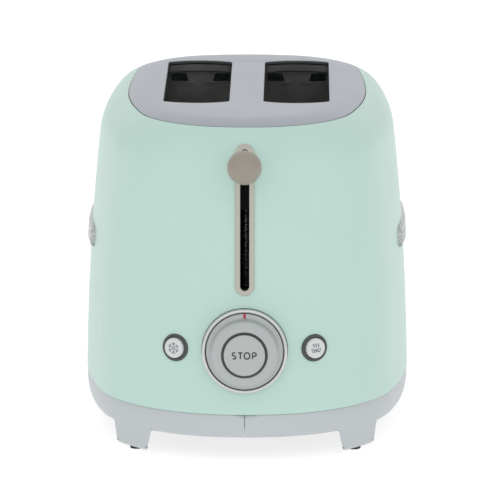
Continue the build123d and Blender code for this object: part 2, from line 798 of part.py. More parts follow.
with BuildPart() as browning_knob:
    with BuildSketch(section_of(knob_plane)) as knob_section:
        with BuildLine():
            Polyline((3.5, -10), (6.5, -10), (6.5, 1.2), (20.9, 1.2), (20.9, -2), (22.55, -2), (22.55, 3.0))
            Polyline((22.55, 3.0), (20.1, 3.9), (19.7, 4.2), (19.5, 11.6), (15.0, 14.0), (13.55, 14.0))
            Polyline((13.55, 14.0), (13.55, 5.0), (3.5, 5.0), (3.5, -10))
        make_face()
        shoulder_corner = knob_section.vertices().sort_by_distance((19.5, 11.6, 0))[0]
        fillet(shoulder_corner, 2.4)
        skirt_corner = knob_section.vertices().sort_by_distance((22.55, 3.0, 0))[0]
        fillet(skirt_corner, 0.7)
        face_corner = knob_section.vertices().sort_by_distance((15.0, 14.0, 0))[0]
        fillet(face_corner, 1.6)
    revolve(axis=normal_axis(knob_plane))
    with BuildSketch(knob_plane.offset(5)):
        with Locations((0, 20.3)):
            Rectangle(1.6, 4.4)
    extrude(amount=-2.2, mode=Mode.SUBTRACT)
browning_knob.part.label = "browning_knob"
export_step(browning_knob.part, "parts/browning_knob.step")

with BuildPart() as knob_pointer:
    with BuildSketch(knob_plane.offset(2.8)):
        with Locations((0, 20.3)):
            Rectangle(1.6, 4.4)
    extrude(amount=1.5)
    with BuildSketch(section_of(knob_plane)):
        with BuildLine():
            Polyline((19.6, 2), (22.45, 2), (22.45, 3.1), (20.2, 4.2), (19.6, 4.2), (19.6, 2))
        make_face()
    revolve(axis=normal_axis(knob_plane), mode=Mode.INTERSECT)
knob_pointer.part.label = "knob_pointer"
export_step(knob_pointer.part, "parts/knob_pointer.step")

with BuildPart() as stop_ring:
    with BuildSketch(section_of(knob_plane)):
        with BuildLine():
            Polyline((12.45, 5), (13.55, 5), (13.55, 13.6), (12.45, 13.6), (12.45, 5))
        make_face()
    revolve(axis=normal_axis(knob_plane))
stop_ring.part.label = "stop_ring"
export_step(stop_ring.part, "parts/stop_ring.step")

with BuildPart() as knob_shaft:
    with BuildSketch(knob_plane.offset(-21)):
        Circle(3.5)
        Circle(2.3, mode=Mode.SUBTRACT)
    extrude(amount=26)
knob_shaft.part.label = "knob_shaft"
export_step(knob_shaft.part, "parts/knob_shaft.step")

with BuildPart() as potentiometer:
    with BuildSketch(knob_plane.offset(-13.5)):
        RectangleRounded(18, 18, 2)
        Circle(3.55, mode=Mode.SUBTRACT)
    extrude(amount=-9)
potentiometer.part.label = "potentiometer"
export_step(potentiometer.part, "parts/potentiometer.step")

with BuildPart() as control_board:
    with BuildSketch(knob_plane.offset(-22.5)):
        RectangleRounded(42, 58, 2)
        with GridLocations(36, 52, 2, 2):
            Circle(1.5, mode=Mode.SUBTRACT)
    extrude(amount=-1.6)
control_board.part.label = "control_board"
export_step(control_board.part, "parts/control_board.step")

with BuildPart() as stop_button:
    with BuildSketch(section_of(knob_plane)) as cap_section:
        with BuildLine():
            Polyline((0, -19), (2, -19), (2, 9), (12.1, 9), (12.1, 15.4), (0, 15.4), (0, -19))
        make_face()
        fillet(cap_section.vertices().sort_by_distance((12.1, 15.4, 0))[0], 0.9)
    revolve(axis=normal_axis(knob_plane))
stop_button.part.label = "stop_button"
export_step(stop_button.part, "parts/stop_button.step")

for button_name, button_plane in zip(("defrost", "reheat"), button_planes):
    with BuildPart() as button:
        with BuildSketch(section_of(button_plane)) as cap_section:
            with BuildLine():
                Polyline((0, -11.6), (2, -11.6), (2, -3), (5.95, -3), (5.95, 2.6), (0, 2.6), (0, -11.6))
            make_face()
            fillet(cap_section.vertices().sort_by_distance((5.95, 2.6, 0))[0], 0.9)
        revolve(axis=normal_axis(button_plane))
    button.part.label = f"{button_name}_button"
    export_step(button.part, f"parts/{button_name}_button.step")

with BuildPart() as button_switches:
    for button_plane in button_planes:
        with BuildSketch(button_plane.offset(-16.5)):
            RectangleRounded(6, 6, 0.6)
        extrude(amount=2.8)
button_switches.part.label = "button_switches"
export_step(button_switches.part, "parts/button_switches.step")

# ---------------------------------------------------------------- rear: supply and crumb tray

with BuildPart() as terminal_block:
    with BuildSketch(across(chamber_rear + sheet)):
        with Locations((0, 70)):
            RectangleRounded(44, 18, 2)
    extrude(amount=-14)
    with BuildSketch(across(chamber_rear + sheet + 14)):
        with Locations((0, 70)):
            with GridLocations(13, 0, 3, 1):
                Circle(2.6)
    extrude(amount=5, mode=Mode.SUBTRACT)
terminal_block.part.label = "terminal_block"
export_step(terminal_block.part, "parts/terminal_block.step")

with BuildPart() as crumb_tray:
    with BuildSketch(level(tray_low)):
        with Locations((0, (half_length + tray_front) / 2)):
            Rectangle(2 * tray_half_width, half_length - tray_front)
        make_face(plan_outline(5.6).edges(), mode=Mode.INTERSECT)
    extrude(amount=tray_high - tray_low)
    offset(amount=-sheet, openings=crumb_tray.faces().sort_by(Axis.Z)[-1])
crumb_tray.part.label = "crumb_tray"
export_step(crumb_tray.part, "parts/crumb_tray.step")

with BuildPart() as tray_grip:
    with BuildSketch(along(0)):
        make_face(base_section().edges())
    sweep(path=skin_path)
    with BuildSketch(across(half_length + 10)):
        with Locations((0, (pan_bottom + seam_z) / 2 + 0.5)):
            Rectangle(tray_mouth - 1.0, seam_z - pan_bottom - 1.2)
    extrude(amount=40, mode=Mode.INTERSECT)
tray_grip.part.label = "tray_grip"
export_step(tray_grip.part, "parts/tray_grip.step")

with BuildPart() as cord_gland:
    with BuildSketch(section_of(gland_plane)):
        with BuildLine():
            Polyline((3.3, -5), (4.2, -5), (4.2, -0.2), (4.9, -0.2), (4.9, 0.9), (4.3, 1.6), (3.3, 1.6), (3.3, -5))
        make_face()
    revolve(axis=normal_axis(gland_plane))
cord_gland.part.label = "cord_gland"
export_step(cord_gland.part, "parts/cord_gland.step")
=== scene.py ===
"""A two-slot pop-up toaster: its visible pieces, finishes and stage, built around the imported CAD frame."""

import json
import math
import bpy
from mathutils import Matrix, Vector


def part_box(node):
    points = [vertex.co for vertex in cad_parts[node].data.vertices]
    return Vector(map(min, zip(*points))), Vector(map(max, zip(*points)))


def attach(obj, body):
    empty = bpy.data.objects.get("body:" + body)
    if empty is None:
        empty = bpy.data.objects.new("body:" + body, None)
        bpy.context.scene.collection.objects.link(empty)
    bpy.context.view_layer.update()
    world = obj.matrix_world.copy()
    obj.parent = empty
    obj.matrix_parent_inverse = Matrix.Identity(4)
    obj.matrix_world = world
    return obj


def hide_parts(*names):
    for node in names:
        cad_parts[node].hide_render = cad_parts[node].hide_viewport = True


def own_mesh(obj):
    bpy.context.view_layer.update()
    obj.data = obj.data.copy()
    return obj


bl_info = {
    "name": "Pop-up toaster",
    "version": (1, 0, 0),
    "blender": (4, 5, 0),
    "location": "3D View > Sidebar > Toaster",
    "description": "Builds the toaster's casing, controls, bread chamber, finishes and stage",
    "category": "Object",
}

import bmesh
import bpy
from bpy.props import FloatProperty, FloatVectorProperty, IntProperty, PointerProperty
from mathutils import Matrix, Vector

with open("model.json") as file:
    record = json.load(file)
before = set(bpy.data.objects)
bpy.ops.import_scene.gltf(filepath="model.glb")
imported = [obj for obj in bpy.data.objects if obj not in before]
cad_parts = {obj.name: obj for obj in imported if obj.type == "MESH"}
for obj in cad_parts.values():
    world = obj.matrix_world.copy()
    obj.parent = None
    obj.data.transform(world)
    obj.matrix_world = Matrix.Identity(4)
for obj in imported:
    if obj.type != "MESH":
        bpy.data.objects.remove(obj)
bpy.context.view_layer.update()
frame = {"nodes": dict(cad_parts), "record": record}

MM = 0.001
shell_low, shell_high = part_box("body_shell")
CENTRE_Y = (shell_low.y + shell_high.y) / 2 / MM
SEAM_Z = shell_low.z / MM
PLATE_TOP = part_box("top_plate")[1].z / MM
BALL_LOW, BALL_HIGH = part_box("lever_ball")

# Casing, in millimetres
HALF_WIDTH = 97.5
HALF_LENGTH = 145.0
END_RADIUS = 135.0
CORNER_RADIUS = 85.0
SIDE_RADIUS = 320.0
REAR_END_RADIUS = 160.0
REAR_CORNER_RADIUS = 75.0
REAR_SIDE_RADIUS = 700.0
PROFILE_RADIUS = 1500.0
WIDEST_Z = 10.0
SHOULDER_Z = 174.0
SHOULDER_RADIUS = 25.0
EDGE_ANGLE = math.radians(71.0)
PLATE_ARC = 57.0
PLATE_THICKNESS = 1.8
SLOT_X = 29.8
SLOT_Y = 13.0
SLOT_WIDTH = 39.0
SLOT_LENGTH = 143.0
SLOT_BOW = 5.0

# Controls
KNOB_Z = 67.0
KNOB_HOLE = 25.25
BUTTON_X = 40.6
BUTTON_HOLE = 8.15
LEVER_SLOT_LOW = 102.4
LEVER_SLOT_HIGH = 184.6
LEVER_SLOT_WIDTH = 5.4
CUTTER_MARGIN = 2.6
SIGN_FLATNESS = 0.2


# ---------------------------------------------------------------- settings


class ToasterSizes(bpy.types.PropertyGroup):
    wall: FloatProperty(
        name="Casing wall", description="Sheet thickness of the casing", default=0.9 * MM, unit="LENGTH"
    )
    step: FloatProperty(
        name="Mesh step", description="Length of the casing's facets", default=2.6 * MM, unit="LENGTH"
    )
    round_steps: IntProperty(name="Round steps", description="Facets round a turned piece", default=120, min=24)
    spring_turns: IntProperty(name="Spring turns", description="Coils in the carriage spring", default=19, min=4)
    spring_wire: FloatProperty(name="Spring wire", description="Wire radius", default=0.55 * MM, unit="LENGTH")


def colour_setting(name, default):
    return FloatVectorProperty(
        name=name, description=f"{name} colour, linear", default=default, size=3, subtype="COLOR", min=0, max=1
    )


class ToasterColours(bpy.types.PropertyGroup):
    enamel: colour_setting("Enamel", (0.475, 0.655, 0.592))
    plate: colour_setting("Top plate", (0.315, 0.34, 0.385))
    base: colour_setting("Base", (0.485, 0.515, 0.535))
    knob: colour_setting("Knob", (0.41, 0.435, 0.435))
    trim: colour_setting("Lever trim", (0.44, 0.43, 0.38))
    ball: colour_setting("Lever ball", (0.29, 0.258, 0.216))
    button: colour_setting("Button cap", (0.60, 0.62, 0.63))
    pointer: colour_setting("Pointer", (0.40, 0.03, 0.06))


class ToasterStage(bpy.types.PropertyGroup):
    distance: FloatProperty(name="Camera distance", description="Camera to the toaster", default=3.2, unit="LENGTH")
    elevation: FloatProperty(
        name="Camera elevation", description="Angle above level", default=math.radians(12.2), subtype="ANGLE"
    )
    turn: FloatProperty(
        name="Camera turn", description="Angle off the front", default=math.radians(-0.59), subtype="ANGLE"
    )
    lens: FloatProperty(name="Lens", description="Focal length in millimetres", default=378.8)
    sky: FloatProperty(name="Room light", description="Strength of the even white light", default=1.0)


# ---------------------------------------------------------------- nodes


class Wire:
    """A node's output socket. Arithmetic on it adds Math nodes."""

    def __init__(self, finish, socket):
        self.finish = finish
        self.socket = socket

    def math(self, operation, *others):
        return self.finish.node("ShaderNodeMath", {"operation": operation}, [self, *others])

    def __add__(self, other):
        return self.math("ADD", other)

    def __rsub__(self, other):
        return self.finish.node("ShaderNodeMath", {"operation": "SUBTRACT"}, [other, self])

    def __mul__(self, other):
        return self.math("MULTIPLY", other)


class NodeMaker:
    """Adds nodes to a tree: settings first, then values or links for its sockets."""

    def __init__(self, tree):
        self.tree = tree

    def node(self, kind, settings=None, sockets=(), output=0):
        made = self.tree.nodes.new(kind)
        for key, value in (settings or {}).items():
            if key == "stops":
                ramp = made.color_ramp.elements
                while len(ramp) < len(value):
                    ramp.new(0.5)
                for element, (place, shade) in zip(ramp, value):
                    element.position = place
                    element.color = (shade, shade, shade, 1)
            else:
                setattr(made, key, value)
        pairs = sockets.items() if isinstance(sockets, dict) else enumerate(sockets)
        for key, value in pairs:
            self.feed(made.inputs[key], value)
        return Wire(self, made.outputs[output])

    def feed(self, socket, value):
        if isinstance(value, Wire):
            self.tree.links.new(value.socket, socket)
        elif value is not None:
            socket.default_value = value


class Finish(NodeMaker):
    """A procedural material: one shader, fed by patterns on Object coordinates."""

    def __init__(self, name, colour, roughness=0.5, metallic=0.0, coat=0.0, coat_roughness=0.1):
        self.material = bpy.data.materials.new(name)
        self.material.use_nodes = True
        super().__init__(self.material.node_tree)
        self.tree.nodes.clear()
        self.colour = (*colour, 1)
        self.roughness = roughness
        self.shader = self.tree.nodes.new("ShaderNodeBsdfPrincipled")
        names = ("Base Color", "Roughness", "Metallic", "Coat Weight", "Coat Roughness")
        for name, value in zip(names, (self.colour, roughness, metallic, coat, coat_roughness)):
            self.shader.inputs[name].default_value = value
        output = self.tree.nodes.new("ShaderNodeOutputMaterial")
        self.tree.links.new(self.shader.outputs[0], output.inputs["Surface"])
        self.place = self.node("ShaderNodeTexCoord", output="Object")

    def noise(self, scale, detail=2.0, stretch=(1, 1, 1)):
        """Noise from 0 to 1. scale is features per metre, and stretch shortens them along an axis."""
        place = self.node("ShaderNodeMapping", {}, {"Vector": self.place, "Scale": stretch})
        return self.node(
            "ShaderNodeTexNoise", {}, {"Vector": place, "Scale": scale, "Detail": detail, "Roughness": 0.55}
        )

    def shade(self, amount, pattern):
        """Darkens and lightens the colour by this share along a pattern."""
        light = tuple(min(1, c * (1 + amount)) for c in self.colour[:3]) + (1,)
        dark = tuple(c * (1 - amount) for c in self.colour[:3]) + (1,)
        mixed = self.node(
            "ShaderNodeMix", {"data_type": "RGBA"}, {"Factor": pattern, "A": dark, "B": light}, output="Result"
        )
        self.feed(self.shader.inputs["Base Color"], mixed)
        return self

    def vary_roughness(self, amount, pattern):
        self.feed(self.shader.inputs["Roughness"], pattern * amount + (self.roughness - amount / 2))
        return self

    def relief(self, depth, pattern):
        """Raises the surface by up to depth millimetres along a pattern."""
        bump = self.node("ShaderNodeBump", {}, {"Strength": 1.0, "Distance": depth * MM, "Height": pattern})
        self.feed(self.shader.inputs["Normal"], bump)
        return self


def enamel(colour):
    """Gloss stoved enamel: a hard clear coat, a faint orange peel and an even colour."""
    made = Finish("mint_enamel", colour, roughness=0.42, coat=0.14, coat_roughness=0.09)
    made.shader.inputs["Specular IOR Level"].default_value = 0.25
    made.shade(0.012, made.noise(18))
    made.vary_roughness(0.06, made.noise(55))
    return made.relief(0.012, made.noise(420, 1.5))


def satin_lacquer(name, colour, grain=0.01, metallic=0.25, roughness=0.42):
    """Metallic lacquer: fine sparkle grain and slow changes of sheen."""
    made = Finish(name, colour, roughness=roughness, metallic=metallic, coat=0.15, coat_roughness=0.3)
    made.shade(0.03, made.noise(2600, 1.0))
    made.vary_roughness(0.08, made.noise(60))
    return made.relief(grain, made.noise(1500, 2.0))


def moulded(name, colour, roughness=0.5, grain=0.015):
    """Moulded plastic with a fine spark-eroded grain."""
    made = Finish(name, colour, roughness=roughness)
    made.shade(0.04, made.noise(140))
    made.vary_roughness(0.1, made.noise(90))
    return made.relief(grain, made.noise(2200, 2.0))


def brushed(name, colour, roughness=0.34, stretch=(1, 0.03, 1), scale=1800):
    """Brushed sheet: long fine scratches along one axis."""
    made = Finish(name, colour, roughness=roughness, metallic=0.9)
    scratches = made.noise(scale, 3.0, stretch)
    made.shade(0.12, scratches)
    made.vary_roughness(0.16, scratches)
    return made.relief(0.01, scratches)


def bright(name, colour, roughness=0.12):
    """Polished plating with a faint haze."""
    made = Finish(name, colour, roughness=roughness, metallic=1.0)
    made.vary_roughness(0.06, made.noise(240))
    return made.relief(0.004, made.noise(700))


def rubber(name, colour):
    made = Finish(name, colour, roughness=0.82)
    made.shade(0.2, made.noise(500))
    return made.relief(0.05, made.noise(2600))


def toasted_steel(name, colour, roughness=0.5):
    """Aluminised sheet that heat has tanned: dark blooms over a dull metal."""
    made = Finish(name, colour, roughness=roughness, metallic=0.75)
    blooms = made.node("ShaderNodeValToRGB", {"stops": [(0.3, 0.0), (0.75, 1.0)]}, {"Fac": made.noise(38, 4.0)})
    made.shade(0.35, blooms)
    made.vary_roughness(0.2, made.noise(120, 3.0))
    return made.relief(0.02, made.noise(900, 3.0))


def mica_sheet(name, colour):
    """Pressed mica: layered flakes that catch the light."""
    made = Finish(name, colour, roughness=0.45, coat=0.2)
    flakes = made.node("ShaderNodeTexVoronoi", {}, {"Vector": made.place, "Scale": 420.0}, output="Distance")
    made.shade(0.3, flakes)
    made.vary_roughness(0.25, flakes)
    return made.relief(0.04, flakes)


def windings(name, colour):
    """Fine enamelled wire wound in level layers, with painted highlight and painted shade in bands along the turns.
    """
    made = Finish(name, colour, roughness=0.3, metallic=0.9)
    turns = made.node(
        "ShaderNodeTexWave", {"bands_direction": "Z"}, {"Vector": made.place, "Scale": 340.0, "Distortion": 0.2}
    )
    # Bands along z lighten and darken the colour: painted highlight on each turn, painted shade in the grooves
    # between turns
    made.shade(0.35, turns)
    return made.relief(0.12, turns)


def make_finishes(colours):
    """Every finish of the toaster, by the name of the record's material slot."""
    return {
        "casing_paint": enamel(colours.enamel),
        "plate_metal": satin_lacquer("plate_lacquer", colours.plate, 0.006, 0.2, 0.36),
        "base_plastic": satin_lacquer("base_lacquer", colours.base, 0.012, 0.15, 0.48),
        "trim_silver": satin_lacquer("lever_trim_silver", colours.trim, 0.004, 0.65, 0.3),
        "knob_silver": satin_lacquer("knob_lacquer", colours.knob, 0.006, 0.25, 0.36),
        "button_white": moulded("button_cap_plastic", colours.button, 0.4, 0.006),
        "collar_dark": moulded("collar_plastic", (0.055, 0.062, 0.055), 0.45, 0.01),
        "ball_taupe": moulded("ball_plastic", colours.ball, 0.38, 0.008),
        "pointer_red": moulded("pointer_plastic", colours.pointer, 0.35, 0.004),
        "bezel_silver": bright("bezel_plating", (0.58, 0.585, 0.58), 0.24),
        # slot_wall is a near-black paint for the plate's slot walls: painted shade down inside the bread slots
        "slot_wall": moulded("slot_wall_shade", (0.045, 0.047, 0.05), 0.55, 0.01),
        "badge_chrome": bright("badge_plating", (0.40, 0.425, 0.415), 0.2),
        "pad_rubber": rubber("foot_rubber", (0.03, 0.03, 0.032)),
        "chamber_steel": toasted_steel("chamber_sheet", (0.16, 0.16, 0.165)),
        "mechanism_steel": brushed("zinc_sheet", (0.42, 0.42, 0.43), 0.36, (1, 1, 0.04)),
        "wire_steel": bright("wire_plating", (0.48, 0.48, 0.49), 0.22),
        "mica": mica_sheet("mica_board", (0.40, 0.33, 0.22)),
        "ribbon": brushed("heating_ribbon", (0.22, 0.19, 0.16), 0.45),
        "copper_coil": windings("coil_wire", (0.52, 0.19, 0.08)),
        "board_green": moulded("circuit_board", (0.02, 0.12, 0.05), 0.3, 0.01),
        "part_black": moulded("black_moulding", (0.018, 0.018, 0.019), 0.5, 0.02),
        "block_cream": moulded("terminal_moulding", (0.55, 0.50, 0.40), 0.45, 0.01),
        "ink": moulded("printed_ink", (0.02, 0.024, 0.026), 0.6, 0.002),
    }


finishes = {}


def material_of(slot):
    return finishes[slot].material


# ---------------------------------------------------------------- the casing's shape

SHOULDER_LEAN = math.asin((SHOULDER_Z - WIDEST_Z) / PROFILE_RADIUS)
SHOULDER_REACH = PROFILE_RADIUS - SHOULDER_RADIUS
SHOULDER_IN = PROFILE_RADIUS - SHOULDER_REACH * math.cos(SHOULDER_LEAN)
SHOULDER_CENTRE_Z = WIDEST_Z + SHOULDER_REACH * math.sin(SHOULDER_LEAN)


def wall_inset(z):
    """How far inside its widest line the casing is at a height, shoulder included."""
    if z <= SHOULDER_Z:
        return PROFILE_RADIUS - math.sqrt(PROFILE_RADIUS**2 - (z - WIDEST_Z) ** 2)
    return SHOULDER_IN - math.sqrt(max(0, SHOULDER_RADIUS**2 - (z - SHOULDER_CENTRE_Z) ** 2))


def plan_arcs(end_radius, corner_radius, side_radius):
    """End, corner and side arc of a quarter of the plan, front to right: (centre, radius, start angle)."""
    end = Vector((0, end_radius - HALF_LENGTH))
    side = Vector((HALF_WIDTH - side_radius, 0))
    gap = side - end
    to_end = end_radius - corner_radius
    to_side = side_radius - corner_radius
    forward = (to_end**2 - to_side**2 + gap.length**2) / (2 * gap.length)
    aside = math.sqrt(to_end**2 - forward**2)
    line = gap.normalized()
    turned = Vector((-line.y, line.x))
    corner = min((end + line * forward + turned * aside, end + line * forward - turned * aside), key=lambda p: p.y)
    end_stop = math.atan2((corner - end).y, (corner - end).x)
    side_start = math.atan2((corner - side).y, (corner - side).x)
    return (
        (end, end_radius, -math.pi / 2),
        (corner, corner_radius, end_stop),
        (side, side_radius, side_start),
    )


FRONT_ARCS = plan_arcs(END_RADIUS, CORNER_RADIUS, SIDE_RADIUS)
REAR_ARCS = plan_arcs(REAR_END_RADIUS, REAR_CORNER_RADIUS, REAR_SIDE_RADIUS)
END_CENTRE = FRONT_ARCS[0][0]
CORNER_CENTRE = FRONT_ARCS[1][0]


def quarter_outline(arcs, step, inset):
    """Points along a quarter of the plan, from its end to its widest line, this far inside it."""
    points = []
    stops = [start for centre, radius, start in arcs[1:]] + [0.0]
    for (centre, radius, start), stop in zip(arcs, stops):
        count = max(3, round(radius * (stop - start) / step))
        for i in range(count):
            angle = start + (stop - start) * i / count
            points.append(centre + Vector((math.cos(angle), math.sin(angle))) * (radius - inset))
    return points + [Vector((HALF_WIDTH - inset, 0))]


def outline(step=2.6, inset=0.0, z=0.0):
    """The casing's closed plan outline, round by the right, this far inside its widest line."""
    front = quarter_outline(FRONT_ARCS, step, inset)
    rear = quarter_outline(REAR_ARCS, step, inset)
    right = front + [Vector((p.x, -p.y)) for p in reversed(rear[:-1])]
    whole = right + [Vector((-p.x, p.y)) for p in reversed(right[1:-1])]
    return [Vector((p.x, CENTRE_Y + p.y, z)) for p in whole]


def front_frame(x, z):
    """Point, outward normal and sideways tangent of the casing's front, at this x and height."""
    joint_x = (CORNER_CENTRE - END_CENTRE).normalized().x * END_RADIUS
    side = 1 if x >= 0 else -1
    if abs(x) <= joint_x:
        centre, radius = END_CENTRE, END_RADIUS
    else:
        centre, radius = Vector((side * CORNER_CENTRE.x, CORNER_CENTRE.y)), CORNER_RADIUS
    forward = math.sqrt((radius - wall_inset(z)) ** 2 - (x - centre.x) ** 2)
    out = Vector((x - centre.x, -forward, 0)).normalized()
    lean = math.asin((min(z, SHOULDER_Z) - WIDEST_Z) / PROFILE_RADIUS)
    normal = out * math.cos(lean) + Vector((0, 0, math.sin(lean)))
    return Vector((x, CENTRE_Y + centre.y - forward, z)), normal, Vector((0, 0, 1)).cross(out)


def place_on(point, normal, tangent):
    """Matrix that puts local x, y and z on the tangent, the upward direction and the normal."""
    up = normal.cross(tangent)
    turned = Matrix((tangent, up, normal)).transposed().to_4x4()
    return Matrix.Translation(point) @ turned


def wall_section(depth_out, depth_in, low, edge=0.25):
    """Closed section of a wall that follows the casing, as (inset, height), with eased corners."""
    side_steps = 26
    turn_steps = 24
    sides = []
    for depth in (depth_out, depth_in):
        radius = PROFILE_RADIUS - depth
        start = math.asin((low - WIDEST_Z) / radius)
        line = []
        for i in range(side_steps + 1):
            angle = start + (SHOULDER_LEAN - start) * i / side_steps
            line.append((PROFILE_RADIUS - radius * math.cos(angle), WIDEST_Z + radius * math.sin(angle)))
        turn = SHOULDER_RADIUS - depth
        for i in range(1, turn_steps + 1):
            angle = SHOULDER_LEAN + (EDGE_ANGLE - SHOULDER_LEAN) * i / turn_steps
            line.append((SHOULDER_IN - turn * math.cos(angle), SHOULDER_CENTRE_Z + turn * math.sin(angle)))
        sides.append(line)
    outer, inner = sides
    outer[0] = (outer[0][0], outer[0][1] + edge)
    bottom = (outer[0][0] + edge, low)
    top = outer[-1]
    eased = (top[0] - edge * math.sin(EDGE_ANGLE), top[1] - edge * math.cos(EDGE_ANGLE))
    lip = (top[0] + edge * math.cos(EDGE_ANGLE), top[1] - edge * math.sin(EDGE_ANGLE))
    return [bottom] + outer[:-1] + [eased, lip] + list(reversed(inner))


# ---------------------------------------------------------------- making meshes


def in_metres(matrix):
    """The same placing, with its millimetre translation in metres."""
    placed = matrix.copy()
    placed.translation = matrix.translation * MM
    return placed


def linked(name, data):
    """A new object in the scene that holds this data."""
    made = bpy.data.objects.new(name, data)
    bpy.context.scene.collection.objects.link(made)
    return made


def new_piece(name, points, faces, slot, smooth_angle=35.0, matrix=None):
    """A mesh piece from points in millimetres, with a finish and smooth shading below an angle."""
    mesh = bpy.data.meshes.new(name)
    mesh.from_pydata([Vector(p) * MM for p in points], [], faces)
    if matrix is not None:
        mesh.transform(in_metres(matrix))
    mesh.update()
    piece = linked(name, mesh)
    set_finish(piece, slot, smooth_angle)
    return piece


def set_finish(piece, slot, smooth_angle=35.0):
    piece.data.materials.clear()
    piece.data.materials.append(material_of(slot))
    piece.data.shade_smooth()
    piece.data.set_sharp_from_angle(angle=math.radians(smooth_angle))


def dress(piece, body, slot, *nodes):
    """The piece rides on a body and stands for CAD nodes; its slot is not used."""
    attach(piece, body)
    if nodes:
        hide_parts(*nodes)
    return piece


def rings_to_faces(count, size, close_path=True, close_ring=True):
    """Quads between consecutive rings of points."""
    faces = []
    for i in range(count if close_path else count - 1):
        for j in range(size if close_ring else size - 1):
            a, b = i * size, (i + 1) % count * size
            k = (j + 1) % size
            faces.append((a + j, b + j, b + k, a + k))
    return faces


def turned_piece(name, profile, matrix, slot, steps=None, smooth_angle=35.0):
    """A piece turned about its normal, from a closed or axis-to-axis profile of (radius, height)."""
    steps = steps or sizes().round_steps
    open_profile = profile[0][0] == 0 and profile[-1][0] == 0
    body = profile[1:-1] if open_profile else profile
    points = []
    for i in range(steps):
        angle = 2 * math.pi * i / steps
        points += [(r * math.cos(angle), r * math.sin(angle), h) for r, h in body]
    faces = rings_to_faces(steps, len(body), close_ring=not open_profile)
    if open_profile:
        size = len(body)
        for end, place in ((0, profile[0]), (size - 1, profile[-1])):
            points.append((0, 0, place[1]))
            centre = len(points) - 1
            for i in range(steps):
                a, b = i * size + end, (i + 1) % steps * size + end
                faces.append((a, centre, b) if end == 0 else (b, centre, a))
    piece = new_piece(name, points, faces, slot, smooth_angle, matrix)
    face_outwards(piece)
    return piece


def face_outwards(piece):
    """Turns every face of a closed mesh to point out of it."""
    work = bmesh.new()
    work.from_mesh(piece.data)
    bmesh.ops.recalc_face_normals(work, faces=work.faces)
    work.to_mesh(piece.data)
    work.free()


def rounded(corners, segments=5):
    """A polyline of (x, y, radius) corners as points, each corner with a radius turned into an arc."""
    points = []
    count = len(corners)
    for i, (x, y, radius) in enumerate(corners):
        here = Vector((x, y))
        if not radius:
            points.append((x, y))
            continue
        before = (Vector(corners[i - 1][:2]) - here).normalized()
        after = (Vector(corners[(i + 1) % count][:2]) - here).normalized()
        half = before.angle(after) / 2
        start = here + before * (radius / math.tan(half))
        stop = here + after * (radius / math.tan(half))
        centre = here + (before + after).normalized() * (radius / math.sin(half))
        first = (start - centre).angle_signed(Vector((1, 0)))
        sweep = (start - centre).angle_signed(stop - centre)
        for k in range(segments + 1):
            angle = first - sweep * k / segments
            points.append((centre.x + radius * math.cos(angle), centre.y + radius * math.sin(angle)))
    return points


def prism(name, shape, low, high, matrix):
    """A closed prism over a shape of (x, y) points, for cutting."""
    count = len(shape)
    points = [(x, y, low) for x, y in shape] + [(x, y, high) for x, y in shape]
    faces = [tuple(reversed(range(count))), tuple(range(count, 2 * count))]
    faces += [(i, (i + 1) % count, count + (i + 1) % count, count + i) for i in range(count)]
    piece = new_piece(name, points, faces, "part_black", matrix=matrix)
    face_outwards(piece)
    return piece


def stadium(width, height, centre=(0, 0), steps=16):
    """An upright slot shape with round ends, as points."""
    radius = width / 2
    straight = height / 2 - radius
    points = []
    for start, middle in ((0, straight), (math.pi, -straight)):
        for i in range(steps + 1):
            angle = start + math.pi * i / steps
            points.append((centre[0] + radius * math.cos(angle), centre[1] + middle + radius * math.sin(angle)))
    return points


def cut(piece, cutters):
    """Cuts a piece by exact booleans, one after another, and removes the cutters."""
    for cutter in cutters:
        modifier = piece.modifiers.new("cut", "BOOLEAN")
        modifier.operation = "DIFFERENCE"
        modifier.solver = "EXACT"
        modifier.object = cutter
    apply_modifiers(piece)
    for cutter in cutters:
        bpy.data.objects.remove(cutter)
    return piece


def apply_modifiers(piece):
    """Turns the evaluated result of a piece's modifiers into its plain mesh."""
    graph = bpy.context.evaluated_depsgraph_get()
    mesh = bpy.data.meshes.new_from_object(piece.evaluated_get(graph), depsgraph=graph)
    mesh.name = piece.name
    piece.modifiers.clear()
    piece.data = mesh
    return piece


def grow(name, tree, settings, slot, smooth_angle=35.0):
    """Runs a Geometry Nodes tree on an empty mesh and keeps the result as a plain mesh piece."""
    piece = linked(name, bpy.data.meshes.new(name))
    modifier = piece.modifiers.new("grow", "NODES")
    modifier.node_group = tree
    for item in tree.interface.items_tree:
        if item.item_type == "SOCKET" and item.in_out == "INPUT" and item.name in settings:
            modifier[item.identifier] = settings[item.name]
    piece.data.update()
    apply_modifiers(piece)
    set_finish(piece, slot, smooth_angle)
    return piece


def geometry_tree(name, inputs):
    """An empty Geometry Nodes tree with named inputs, and a maker that ends it."""
    tree = bpy.data.node_groups.new(name, "GeometryNodeTree")
    for label, kind in inputs:
        tree.interface.new_socket(name=label, in_out="INPUT", socket_type=kind)
    tree.interface.new_socket(name="Geometry", in_out="OUTPUT", socket_type="NodeSocketGeometry")
    maker = NodeMaker(tree)
    group = tree.nodes.new("NodeGroupInput")
    wires = {label: Wire(maker, group.outputs[label]) for label, kind in inputs}
    return tree, maker, wires


def end_tree(maker, geometry, slot):
    real = maker.node("GeometryNodeRealizeInstances", {}, {"Geometry": geometry})
    dressed = maker.node("GeometryNodeSetMaterial", {}, {"Geometry": real, "Material": material_of(slot)})
    group_output = maker.tree.nodes.new("NodeGroupOutput")
    maker.tree.links.new(dressed.socket, group_output.inputs["Geometry"])


def guide_object(name, points, edges):
    """Points in millimetres and the edges between them, for a Geometry Nodes tree to follow."""
    mesh = bpy.data.meshes.new(name)
    mesh.from_pydata([Vector(p) * MM for p in points], edges, [])
    guide = linked(name, mesh)
    return guide


def loop_object(name, points):
    """A closed chain of edges, as a guide for a sweep."""
    count = len(points)
    return guide_object(name, points, [(i, (i + 1) % count) for i in range(count)])


